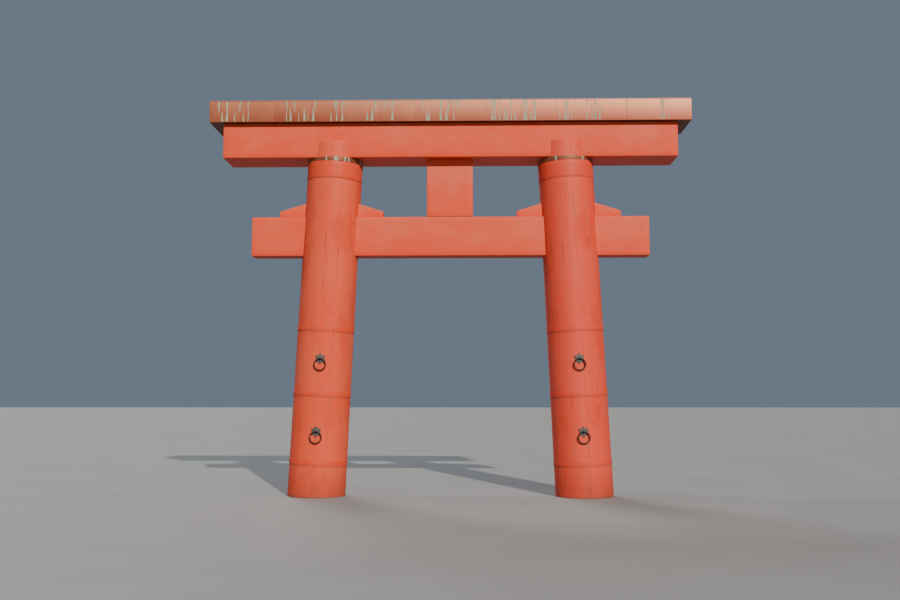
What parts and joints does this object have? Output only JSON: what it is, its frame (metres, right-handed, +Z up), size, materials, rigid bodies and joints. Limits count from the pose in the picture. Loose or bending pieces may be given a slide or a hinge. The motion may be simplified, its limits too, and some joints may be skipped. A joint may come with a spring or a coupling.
{
  "type": "torii gate",
  "caption": "Vermilion torii gate: leaning round columns, wedged tie beam, strut, double lintel with a copper-clad top, and iron ring pulls on the column fronts.",
  "frame": {"origin": "on the ground, midway between the two columns", "axes": "+X along the lintels, +Y to the back of the gate, +Z up"},
  "size_m": [10.37, 1.3075, 8.54],
  "materials": {
    "column_paint": "weathered vermilion paint on round timber, fine upright cracks, grimy foot",
    "beam_paint": "weathered vermilion paint on squared timber, faded in soft patches",
    "copper_sheet": "aged copper sheet in seamed panels with pale green streaks",
    "wrought_iron": "dark wrought iron, slightly rusted at the ring"
  },
  "bodies": {
    "gate": {"tie_beam": "beam_paint", "strut": "beam_paint", "second_lintel": "beam_paint", "top_lintel": "beam_paint", "roof_copper": "copper_sheet", "front_copper": "copper_sheet", "back_copper": "copper_sheet", "soffit_copper": "copper_sheet", "left_column": "column_paint", "left_neck_band": "column_paint", "left_collar": "copper_sheet", "left_end_copper": "copper_sheet", "left_hoop_1": "column_paint", "left_hoop_2": "column_paint", "left_hoop_3": "column_paint", "left_inner_wedge": "beam_paint", "left_outer_wedge": "beam_paint", "left_lower_star": "wrought_iron", "left_lower_eye": "wrought_iron", "left_upper_star": "wrought_iron", "left_upper_eye": "wrought_iron", "right_column": "column_paint", "right_neck_band": "column_paint", "right_collar": "copper_sheet", "right_end_copper": "copper_sheet", "right_hoop_1": "column_paint", "right_hoop_2": "column_paint", "right_hoop_3": "column_paint", "right_inner_wedge": "beam_paint", "right_outer_wedge": "beam_paint", "right_lower_star": "wrought_iron", "right_lower_eye": "wrought_iron", "right_upper_star": "wrought_iron", "right_upper_eye": "wrought_iron"},
    "left_lower_ring": {"left_lower_ring": "wrought_iron"},
    "left_upper_ring": {"left_upper_ring": "wrought_iron"},
    "right_lower_ring": {"right_lower_ring": "wrought_iron"},
    "right_upper_ring": {"right_upper_ring": "wrought_iron"}
  },
  "joints": [
    {"name": "left_lower_ring_swing", "type": "hinge", "parent": "gate", "child": "left_lower_ring", "pos_m": [-2.79956, -0.65225, 1.37745], "axis": [-0.9989, 0, 0.0475], "range_deg": [0, 175]},
    {"name": "left_upper_ring_swing", "type": "hinge", "parent": "gate", "child": "left_upper_ring", "pos_m": [-2.72695, -0.64699, 2.90572], "axis": [-0.9989, 0, 0.0475], "range_deg": [0, 175]},
    {"name": "right_lower_ring_swing", "type": "hinge", "parent": "gate", "child": "right_lower_ring", "pos_m": [2.79956, -0.65225, 1.37745], "axis": [-0.9989, 0, -0.0475], "range_deg": [0, 175]},
    {"name": "right_upper_ring_swing", "type": "hinge", "parent": "gate", "child": "right_upper_ring", "pos_m": [2.72695, -0.64699, 2.90572], "axis": [-0.9989, 0, -0.0475], "range_deg": [0, 175]}
  ]
}
